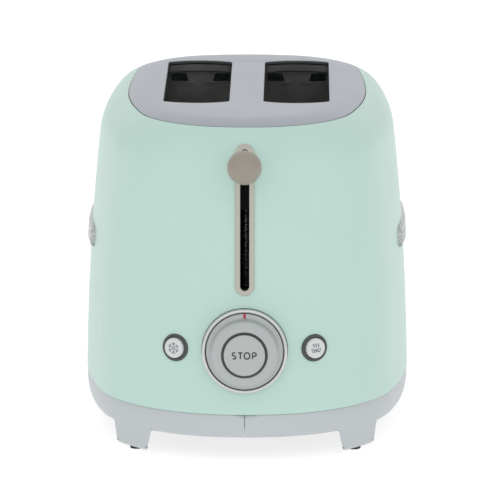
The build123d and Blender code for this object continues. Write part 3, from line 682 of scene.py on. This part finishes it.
def sweep_tree(slot):
    """Sweeps a section round an outline. The section's x runs outwards and its y downwards."""
    tree, maker, wires = geometry_tree(
        f"sweep_{slot}", (("Outline", "NodeSocketObject"), ("Section", "NodeSocketObject"))
    )
    curves = []
    for label in ("Outline", "Section"):
        chain = maker.node("GeometryNodeObjectInfo", {}, {"Object": wires[label]}, output="Geometry")
        curves.append(maker.node("GeometryNodeMeshToCurve", {}, {"Mesh": chain}))
    upright = maker.node("GeometryNodeSetCurveNormal", {"mode": "Z_UP"}, {"Curve": curves[0]})
    swept = maker.node("GeometryNodeCurveToMesh", {}, {"Curve": upright, "Profile Curve": curves[1]})
    end_tree(maker, swept, slot)
    return tree


def sweep_round(name, section, slot, smooth_angle=35.0):
    """A piece with this section of (inset, height) all round the casing's outline."""
    path = loop_object("path", outline(sizes().step / MM))
    profile = loop_object("profile", [(-inset, -z, 0) for inset, z in section])
    piece = grow(name, sweep_tree(slot), {"Outline": path, "Section": profile}, slot, smooth_angle)
    face_outwards(piece)
    for guide in (path, profile):
        bpy.data.objects.remove(guide)
    return piece


def stack(name, rings, slot, smooth_angle=35.0):
    """A closed piece through rings of equally many points, from its underside to its top, with flat ends."""
    size = len(rings[0])
    faces = rings_to_faces(len(rings), size, close_path=False)
    faces += [tuple(range(size)), tuple(range((len(rings) - 1) * size, len(rings) * size))]
    piece = new_piece(name, [point for ring in rings for point in ring], faces, slot, smooth_angle)
    face_outwards(piece)
    return piece


def smooth_copy(node, smooth_angle=32.0):
    """A merged copy of a CAD node, shaded by the size of its faces, that stands for the node."""
    source = frame["nodes"][node]
    piece = linked(f"{node}_smooth", source.data.copy())
    work = bmesh.new()
    work.from_mesh(piece.data)
    bmesh.ops.remove_doubles(work, verts=work.verts, dist=0.002 * MM)
    work.to_mesh(piece.data)
    work.free()
    set_finish(piece, NODE_SLOTS[node], smooth_angle)
    modifier = piece.modifiers.new("normals", "WEIGHTED_NORMAL")
    modifier.mode = "FACE_AREA_WITH_ANGLE"
    modifier.keep_sharp = True
    apply_modifiers(piece)
    return dress(piece, BODY_OF_NODE[node], NODE_SLOTS[node], node)


BODY_OF_NODE = {node: body for body, nodes in frame["record"]["behaviour"]["bodies"].items() for node in nodes}
NODE_SLOTS = {part["node"]: part["material_slot"] for part in frame["record"]["subparts"]}


def guide_tree(name, measure):
    """A tree that takes a guide, a measure and a flatness: also returns its maker, wires, guide and squeeze."""
    inputs = (("Guide", "NodeSocketObject"), (measure, "NodeSocketFloat"), ("Flatness", "NodeSocketFloat"))
    tree, maker, wires = geometry_tree(name, inputs)
    guide = maker.node("GeometryNodeObjectInfo", {}, {"Object": wires["Guide"]}, output="Geometry")
    squeeze = maker.node("ShaderNodeCombineXYZ", {}, {"X": 1.0, "Y": 1.0, "Z": wires["Flatness"]})
    return tree, maker, wires[measure], guide, squeeze


def stroke_tree(slot):
    """Round strokes along the guide's chains of edges, flattened to a height."""
    tree, maker, width, chains, squeeze = guide_tree(f"strokes_{slot}", "Width")
    curve = maker.node("GeometryNodeMeshToCurve", {}, {"Mesh": chains})
    circle = maker.node("GeometryNodeCurvePrimitiveCircle", {}, {"Resolution": 12, "Radius": width * 0.5})
    sockets = {"Curve": curve, "Profile Curve": circle, "Fill Caps": True}
    tube = maker.node("GeometryNodeCurveToMesh", {}, sockets)
    flat = maker.node("GeometryNodeTransform", {}, {"Geometry": tube, "Scale": squeeze})
    end_tree(maker, flat, slot)
    return tree


def strokes(name, chains, width, slot, matrix=None, flatness=1.0):
    """A piece of round strokes: each chain is a list of points, closed where its ends meet."""
    points = []
    edges = []
    for chain in chains:
        first = len(points)
        closed = (Vector(chain[0]) - Vector(chain[-1])).length < 1e-6
        kept = chain[:-1] if closed else chain
        points += kept
        edges += [(first + i, first + i + 1) for i in range(len(kept) - 1)]
        if closed:
            edges.append((first + len(kept) - 1, first))
    guide = guide_object("guide", points, edges)
    settings = {"Guide": guide, "Width": width * MM, "Flatness": flatness}
    piece = grow(name, stroke_tree(slot), settings, slot, 50)
    bpy.data.objects.remove(guide)
    if matrix is not None:
        piece.data.transform(in_metres(matrix))
    face_outwards(piece)
    return piece


def bead_tree(slot):
    """A flattened bead on every point of the guide."""
    tree, maker, radius, places, squeeze = guide_tree(f"beads_{slot}", "Radius")
    bead = maker.node("GeometryNodeMeshUVSphere", {}, {"Segments": 14, "Rings": 8, "Radius": radius})
    spread = maker.node("GeometryNodeInstanceOnPoints", {}, {"Points": places, "Instance": bead, "Scale": squeeze})
    end_tree(maker, spread, slot)
    return tree


def beads(name, places, radius, slot, matrix, flatness):
    """A piece of flattened beads, one at each place."""
    guide = guide_object("guide", places, [])
    settings = {"Guide": guide, "Radius": radius * MM, "Flatness": flatness}
    piece = grow(name, bead_tree(slot), settings, slot, 60)
    bpy.data.objects.remove(guide)
    piece.data.transform(in_metres(matrix))
    face_outwards(piece)
    return piece


def arc(centre, radius, start, sweep, steps=14, height=0.0):
    """Points of an arc, with angles in degrees."""
    return [
        (
            centre[0] + radius * math.cos(math.radians(start + sweep * i / steps)),
            centre[1] + radius * math.sin(math.radians(start + sweep * i / steps)),
            height,
        )
        for i in range(steps + 1)
    ]


def eased_rim(radius, height, ease=0.9):
    """Points that round a turned cap from its side to its top, given the rounding's centre."""
    angles = [math.radians(a) for a in range(0, 91, 15)]
    return [(radius + ease * math.cos(a), height + ease * math.sin(a)) for a in angles]


def sizes():
    return bpy.context.scene.toaster_sizes


# ---------------------------------------------------------------- operators


class PaintFrame(bpy.types.Operator):
    """Makes the finishes and gives every CAD piece the one that its slot names"""

    bl_idname = "toaster.paint_frame"
    bl_label = "Finishes"

    def execute(self, context):
        finishes.update(make_finishes(context.scene.toaster_colours))
        for name, node in frame["nodes"].items():
            node.data.materials.clear()
            node.data.materials.append(material_of(NODE_SLOTS[name]))
        return {"FINISHED"}


class BuildCasing(bpy.types.Operator):
    """The enamelled casing, swept round its outline, with holes for the lever, knob and buttons"""

    bl_idname = "toaster.casing"
    bl_label = "Casing"

    def execute(self, context):
        casing = sweep_round("casing", wall_section(0.0, sizes().wall / MM, SEAM_Z), "casing_paint")
        knob = place_on(*front_frame(0, KNOB_Z))
        circle = [(math.cos(math.radians(a)), math.sin(math.radians(a))) for a in range(0, 360, 3)]
        cutters = [prism("knob_hole", [(x * KNOB_HOLE, y * KNOB_HOLE) for x, y in circle], -22, 8, knob)]
        for x in (-BUTTON_X, BUTTON_X):
            button = place_on(*front_frame(x, KNOB_Z))
            hole = [(a * BUTTON_HOLE, b * BUTTON_HOLE) for a, b in circle[::2]]
            cutters.append(prism("button_hole", hole, -12, 8, button))
        middle = (0, (LEVER_SLOT_LOW + LEVER_SLOT_HIGH) / 2)
        shape = stadium(LEVER_SLOT_WIDTH + CUTTER_MARGIN, LEVER_SLOT_HIGH - LEVER_SLOT_LOW + CUTTER_MARGIN, middle)
        front = place_on(Vector((0, CENTRE_Y - 100, 0)), Vector((0, -1, 0)), Vector((1, 0, 0)))
        cutters.append(prism("lever_hole", shape, 0, 60, front))
        cut(casing, cutters)
        set_finish(casing, "casing_paint")
        dress(casing, "root", "casing_paint", "body_shell")
        return {"FINISHED"}


def slot_points(grow_by):
    """Half-open outline of a bread slot, this much larger all round, as (x, y)."""
    half = SLOT_WIDTH / 2
    tip = SLOT_LENGTH / 2
    bow_radius = (half**2 + SLOT_BOW**2) / (2 * SLOT_BOW)
    corner_y = tip - SLOT_BOW
    bow = [(x, tip - bow_radius + math.sqrt(bow_radius**2 - x**2)) for x in range(12, -13, -3)]
    corners = [(half, corner_y, 4.0)] + [(x, y, 0) for x, y in bow] + [(-half, corner_y, 4.0)]
    corners += [(-half, -corner_y, 4.0)] + [(-x, -y, 0) for x, y in bow] + [(half, -corner_y, 4.0)]
    points = rounded(corners, 8)
    grown = []
    for i, (x, y) in enumerate(points):
        before, after = points[i - 1], points[(i + 1) % len(points)]
        along = Vector((after[0] - before[0], after[1] - before[1])).normalized()
        grown.append((x + along.y * grow_by, y - along.x * grow_by))
    return grown


class BuildPlate(bpy.types.Operator):
    """The lacquered top plate with its two rolled bread slots, whose steep walls carry painted shade"""

    bl_idname = "toaster.plate"
    bl_label = "Top plate"

    def execute(self, context):
        edge_in = SHOULDER_IN - SHOULDER_RADIUS * math.cos(EDGE_ANGLE)
        arc_in = edge_in + PLATE_ARC * math.cos(EDGE_ANGLE)
        arc_z = PLATE_TOP - PLATE_ARC
        gap = 0.35 / PLATE_ARC
        rings = []
        for depth in (PLATE_THICKNESS, 0.0):
            side = []
            for i in range(15):
                angle = EDGE_ANGLE + gap + (math.pi / 2 - EDGE_ANGLE - gap) * (i / 14) ** 0.9
                radius = PLATE_ARC - depth
                ease = 0.12 if i == 0 and not depth else 0.0
                inset = arc_in - radius * math.cos(angle) + ease
                side.append(outline(sizes().step / MM, inset, arc_z + radius * math.sin(angle) - ease * 0.4))
            rings += side if not depth == PLATE_THICKNESS else list(reversed(side))
        plate = stack("slotted_plate", rings, "plate_metal")
        fillet = 0.8
        profile = [(0.0, PLATE_TOP - 14), (0.0, PLATE_TOP - fillet)]
        for angle in range(15, 90, 14):
            turn = math.radians(angle)
            profile.append((fillet * (1 - math.cos(turn)), PLATE_TOP - fillet * (1 - math.sin(turn))))
        profile += [(fillet + 0.5, PLATE_TOP + 0.1), (fillet + 1.5, PLATE_TOP + 4)]
        cutters = []
        for side in (-1, 1):
            cutter_rings = [
                [(side * SLOT_X + x, CENTRE_Y + SLOT_Y + y, z) for x, y in slot_points(grow_by)]
                for grow_by, z in profile
            ]
            cutters.append(stack("slot_cutter", cutter_rings, "plate_metal"))
        cut(plate, cutters)
        set_finish(plate, "plate_metal", 30)
        # The slot walls' steep faces take the near-black slot_wall finish: painted shade inside the slots
        plate.data.materials.append(material_of("slot_wall"))
        margin = 0.6
        steepness = 0.6
        for face in plate.data.polygons:
            middle = face.center / MM
            beside = abs(abs(middle.x) - SLOT_X) < SLOT_WIDTH / 2 + margin
            within = abs(middle.y - CENTRE_Y - SLOT_Y) < SLOT_LENGTH / 2 + margin
            if beside and within and abs(face.normal.z) < steepness:
                face.material_index = 1
        dress(plate, "root", "plate_metal", "top_plate")
        return {"FINISHED"}


class BuildTrim(bpy.types.Operator):
    """The base, lever slot trim, badges and tray front, smoothed from the CAD pieces"""

    bl_idname = "toaster.trim"
    bl_label = "Base and trim"

    def execute(self, context):
        for node in ("base_skirt_left", "base_skirt_right", "lever_slot_trim", "side_badges", "tray_grip"):
            smooth_copy(node)
        for node in ("foot_pads", "cord_wrap_posts", "cord_gland", "base_screws", "crumb_tray"):
            smooth_copy(node)
        return {"FINISHED"}


class BuildKnob(bpy.types.Operator):
    """The browning knob in its bright bezel, with the stop button and its lettering"""

    bl_idname = "toaster.knob"
    bl_label = "Browning knob"

    def execute(self, context):
        place = place_on(*front_frame(0, KNOB_Z))
        bezel = rounded(
            [(22.9, -12, 0), (22.9, 3.4, 0.7), (25.0, 3.4, 0.9), (25.0, -13.5, 0), (3.9, -13.5, 0), (3.9, -12, 0)]
        )
        piece = turned_piece("bright_bezel", bezel, place, "knob_silver", 144)
        dress(piece, "root", "knob_silver", "knob_bezel")
        piece.data.materials[0] = finishes["bezel_silver"].material

        knob = rounded(
            [
                (3.5, -10, 0),
                (6.5, -10, 0),
                (6.5, 1.2, 0),
                (20.9, 1.2, 0),
                (20.9, -2, 0.3),
                (22.55, -2, 0.3),
                (22.55, 3.0, 0.7),
                (20.1, 3.9, 0.4),
                (19.7, 4.35, 0.25),
                (19.5, 11.6, 2.4),
                (15.0, 14.0, 1.6),
                (13.55, 14.0, 0.25),
                (13.55, 5.0, 0),
                (3.5, 5.0, 0),
            ]
        )
        piece = turned_piece("knob_body", knob, place, "knob_silver", 144)
        dress(piece, "browning_knob", "knob_silver", "browning_knob")

        ring = rounded([(12.45, 5, 0), (13.55, 5, 0), (13.55, 13.6, 0.15), (12.45, 13.6, 0.15)], 2)
        piece = turned_piece("stop_gap_ring", ring, place, "collar_dark", 96)
        dress(piece, "browning_knob", "collar_dark", "stop_ring")

        cap = [(0, -19), (2, -19), (2, 9), (12.1, 9)]
        cap += eased_rim(11.2, 14.5) + [(8, 15.4), (0, 15.4)]
        piece = turned_piece("stop_cap", cap, place, "knob_silver", 96)
        dress(piece, "stop_button", "knob_silver", "stop_button")

        face = place @ Matrix.Translation((0, 0, 15.4))
        piece = strokes("stop_letters", stop_letters(), 0.8, "ink", face, SIGN_FLATNESS)
        dress(piece, "stop_button", "ink")
        smooth_copy("knob_pointer")
        return {"FINISHED"}


def stop_letters():
    """The word STOP as strokes, 4.2 mm high and centred."""
    high = 1.8
    bend = high / 2
    s_left = -6.0
    letter_s = arc((s_left, bend), 0.95, 40, 230, 12)[:-1] + arc((s_left, -bend), 0.95, 90, -230, 12)
    t_middle = -2.35
    bar = [(t_middle - 1.35, high, 0), (t_middle + 1.35, high, 0)]
    stem = [(t_middle, high, 0), (t_middle, -high, 0)]
    round_o = [(1.55 + 1.62 * x, 1.88 * y, 0) for x, y, z in arc((0, 0), 1, 0, 360, 28)]
    p_left = 4.75
    letter_p = [(p_left, -high, 0), (p_left, high, 0), (p_left + 1.1, high, 0)]
    letter_p += arc((p_left + 1.15, high - 0.98), 0.98, 90, -180, 12) + [(p_left, high - 1.96, 0)]
    return [letter_s, bar, stem, round_o, letter_p]


class BuildButtons(bpy.types.Operator):
    """The defrost and reheat buttons in their dark collars, with their signs"""

    bl_idname = "toaster.buttons"
    bl_label = "Push buttons"

    def execute(self, context):
        collar = rounded(
            [(6.25, -16.5, 0), (6.25, 0.6, 0), (6.65, 1.0, 0), (7.55, 1.0, 0), (8.05, 0.5, 0), (8.05, -18, 0)]
        )
        collar += [(0.05, -18), (0.05, -16.5)]
        cap = [(0, -11.6), (2, -11.6), (2, -3), (5.95, -3)]
        cap += eased_rim(5.05, 1.7) + [(3, 2.6), (0, 2.6)]
        for x, button in ((-BUTTON_X, "defrost_button"), (BUTTON_X, "reheat_button")):
            place = place_on(*front_frame(x, KNOB_Z))
            side = "left" if x < 0 else "right"
            piece = turned_piece(f"collar_{side}", collar, place, "collar_dark", 72)
            dress(piece, "root", "collar_dark", "button_collars")
            piece = turned_piece(f"{button}_cap", cap, place, "button_white", 72)
            dress(piece, button, "button_white", button)
            face = place @ Matrix.Translation((0, 0, 2.6))
            sign = self.snowflake(face) if x < 0 else self.slice_sign(face)
            dress(sign, button, "ink")
        return {"FINISHED"}

    def snowflake(self, face):
        """Six arms of dots round a middle dot, with a pair of dots at each tip."""
        places = [(0, 0, 0)]
        for arm in range(6):
            turn = math.radians(60 * arm + 30)
            along = Vector((math.cos(turn), math.sin(turn), 0))
            aside = Vector((-along.y, along.x, 0))
            places += [along * 1.05, along * 2.05, along * 3.05]
            places += [along * 2.6 + aside * 0.75, along * 2.6 - aside * 0.75]
        return beads("snowflake", places, 0.36, "ink", face, SIGN_FLATNESS)

    def slice_sign(self, face):
        """Three waves of warmth over a slice of bread."""
        chains = []
        for x in (-1.5, 0, 1.5):
            chains.append([(x + 0.28 * math.sin(t * math.pi / 4), 0.75 + t * 0.27, 0) for t in range(9)])
        chains.append([(-2.9, -0.25, 0), (2.9, -0.25, 0), (2.2, -2.0, 0), (-2.2, -2.0, 0), (-2.9, -0.25, 0)])
        chains.append([(-1.6, -1.1, 0), (1.6, -1.1, 0)])
        return strokes("warming_slice", chains, 0.55, "ink", face, 0.25)


class BuildLever(bpy.types.Operator):
    """The lever's ball"""

    bl_idname = "toaster.lever"
    bl_label = "Lever ball"

    def execute(self, context):
        middle = (BALL_LOW + BALL_HIGH) / 2 / MM
        radius = (BALL_HIGH.z - BALL_LOW.z) / 2 / MM
        steps = 48
        angles = [math.pi * i / steps for i in range(steps + 1)]
        profile = [(radius * math.sin(a), -radius * math.cos(a)) for a in angles]
        profile[0] = (0, -radius)
        profile[-1] = (0, radius)
        place = place_on(middle, Vector((0, -1, 0)), Vector((1, 0, 0)))
        piece = turned_piece("ball_grip", profile, place, "ball_taupe", 96)
        dress(piece, "carriage", "ball_taupe", "lever_ball")
        return {"FINISHED"}


class BuildSpring(bpy.types.Operator):
    """The carriage's coil spring, built at one length; the real one shortens as the lever goes down"""

    bl_idname = "toaster.spring"
    bl_label = "Carriage spring"

    def execute(self, context):
        low, high = (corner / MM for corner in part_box("carriage_spring"))
        wire = sizes().spring_wire / MM
        radius = (high.x - low.x) / 2 - wire
        middle = (low + high) / 2
        turns = sizes().spring_turns
        closed = 2
        closed_gap = 1.05
        steps = 20
        total = turns + 2 * closed
        chain = []
        rise = high.z - low.z - 2 * wire
        for i in range(total * steps + 1):
            turn = i / steps
            wound = min(turn, closed) * 2 * wire * closed_gap
            wound += max(0, turn - turns - closed) * 2 * wire * closed_gap
            free = (rise - 4 * closed * wire * closed_gap) * min(max(turn - closed, 0) / turns, 1)
            angle = 2 * math.pi * turn
            chain.append(
                (
                    middle.x + radius * math.cos(angle),
                    middle.y + radius * math.sin(angle),
                    low.z + wire + wound + free,
                )
            )
        piece = strokes("coil_spring", [chain], 2 * wire, "wire_steel")
        dress(piece, "root", "wire_steel", "carriage_spring")
        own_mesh(piece)
        return {"FINISHED"}


class BuildGuides(bpy.types.Operator):
    """The wire bread guides, welded from round wire"""

    bl_idname = "toaster.guides"
    bl_label = "Bread guides"

    def execute(self, context):
        for node, body in BODY_OF_NODE.items():
            if not node.startswith("bread_guide_"):
                continue
            low, high = (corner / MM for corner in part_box(node))
            x = (low.x + high.x) / 2
            pivot_z = low.z + 1.2
            top_z = high.z - 1.0
            count = 8
            first, last = low.y + 10.8, high.y - 10.8
            pivot = strokes(f"{node}_pivot", [[(x, low.y, pivot_z), (x, high.y, pivot_z)]], 2.4, "wire_steel")
            top = strokes(
                f"{node}_rail",
                [
                    [(x, first - 1.2, pivot_z), (x, first - 1.2, top_z - 1.2), (x, first, top_z), (x, last, top_z)]
                    + [(x, last + 1.2, top_z - 1.2), (x, last + 1.2, pivot_z)]
                ],
                2.0,
                "wire_steel",
            )
            places = [first + (last - first) * i / (count - 1) for i in range(1, count - 1)]
            uprights = [[(x, y, pivot_z), (x, y, top_z)] for y in places]
            wires = strokes(f"{node}_uprights", uprights, 1.6, "wire_steel")
            for piece in (pivot, top, wires):
                dress(piece, body, "wire_steel", node)
        return {"FINISHED"}


class BuildStage(bpy.types.Operator):
    """A white room: floor, backdrop, soft lights and the camera"""

    bl_idname = "toaster.stage"
    bl_label = "Stage"

    def execute(self, context):
        scene = context.scene
        stage = scene.toaster_stage
        scene.view_settings.view_transform = "Standard"
        world = bpy.data.worlds.new("white_room")
        world.use_nodes = True
        scene.world = world
        background = world.node_tree.nodes["Background"]
        background.inputs["Color"].default_value = (1, 1, 1, 1)
        side_shade = 0.42
        room = NodeMaker(world.node_tree)
        direction = room.node("ShaderNodeTexCoord", output="Generated")
        across = room.node("ShaderNodeSeparateXYZ", {}, [direction], output="X")
        room.feed(background.inputs["Strength"], (1 - across * across * side_shade) * stage.sky)

        floor_finish = Finish("floor_paper", (0.3, 0.3, 0.3), roughness=0.9)
        floor_finish.shade(0.004, floor_finish.noise(3))
        floor_finish.shader.inputs["Emission Color"].default_value = (1, 1, 1, 1)
        floor_finish.shader.inputs["Emission Strength"].default_value = 0.8
        mesh = bpy.data.meshes.new("floor")
        reach = 6.0
        corners = [(-reach, -reach, 0), (reach, -reach, 0), (reach, reach, 0), (-reach, reach, 0)]
        mesh.from_pydata(corners, [], [(0, 1, 2, 3)])
        mesh.materials.append(floor_finish.material)
        floor = linked("floor", mesh)

        aim = Vector((0, 0.01, 0.1))
        self.softbox("front_softbox", (0.0, -2.3, 1.35), aim, (2.6, 1.8), 4)
        self.softbox("left_softbox", (-1.5, -1.0, 0.75), aim, (0.5, 1.5), 1.6)
        self.softbox("right_softbox", (1.5, -1.0, 0.75), aim, (0.5, 1.5), 1.6)

        data = bpy.data.cameras.new("camera")
        data.lens = stage.lens
        data.sensor_width = 36
        camera = linked("camera", data)
        turn, rise = stage.turn, stage.elevation
        right = Vector((math.cos(turn), -math.sin(turn), 0))
        forward = Vector((math.sin(turn) * math.cos(rise), math.cos(turn) * math.cos(rise), -math.sin(rise)))
        target = Vector((0, CENTRE_Y * MM, 0.096)) + right * 0.00164
        camera.location = target - forward * stage.distance
        camera.rotation_euler = forward.to_track_quat("-Z", "Y").to_euler()
        scene.camera = camera
        return {"FINISHED"}

    def softbox(self, name, place, aim, size, power):
        data = bpy.data.lights.new(name, "AREA")
        data.shape = "RECTANGLE"
        data.size, data.size_y = size
        data.energy = power
        light = linked(name, data)
        light.location = place
        light.rotation_euler = (aim - Vector(place)).to_track_quat("-Z", "Y").to_euler()


class ToasterPanel(bpy.types.Panel):
    bl_label = "Toaster"
    bl_idname = "VIEW3D_PT_toaster"
    bl_space_type = "VIEW_3D"
    bl_region_type = "UI"
    bl_category = "Toaster"

    def draw(self, context):
        for settings in (context.scene.toaster_sizes, context.scene.toaster_colours, context.scene.toaster_stage):
            box = self.layout.box()
            for key in settings.bl_rna.properties.keys():
                if key not in ("rna_type", "name"):
                    box.prop(settings, key)
        for step in STEPS:
            self.layout.operator(step.bl_idname)


GROUPS = {
    "toaster_sizes": ToasterSizes,
    "toaster_colours": ToasterColours,
    "toaster_stage": ToasterStage,
}
STEPS = (
    BuildStage,
    PaintFrame,
    BuildCasing,
    BuildPlate,
    BuildTrim,
    BuildKnob,
    BuildButtons,
    BuildLever,
    BuildSpring,
    BuildGuides,
)


def register():
    for name, group in GROUPS.items():
        bpy.utils.register_class(group)
        setattr(bpy.types.Scene, name, PointerProperty(type=group))
    for step in STEPS + (ToasterPanel,):
        bpy.utils.register_class(step)


def unregister():
    for step in reversed(STEPS + (ToasterPanel,)):
        bpy.utils.unregister_class(step)
    for name, group in GROUPS.items():
        delattr(bpy.types.Scene, name)
        bpy.utils.unregister_class(group)


def main():
    register()
    for step in STEPS:
        getattr(bpy.ops.toaster, step.bl_idname.split(".")[1])()


if __name__ == "__main__":
    main()
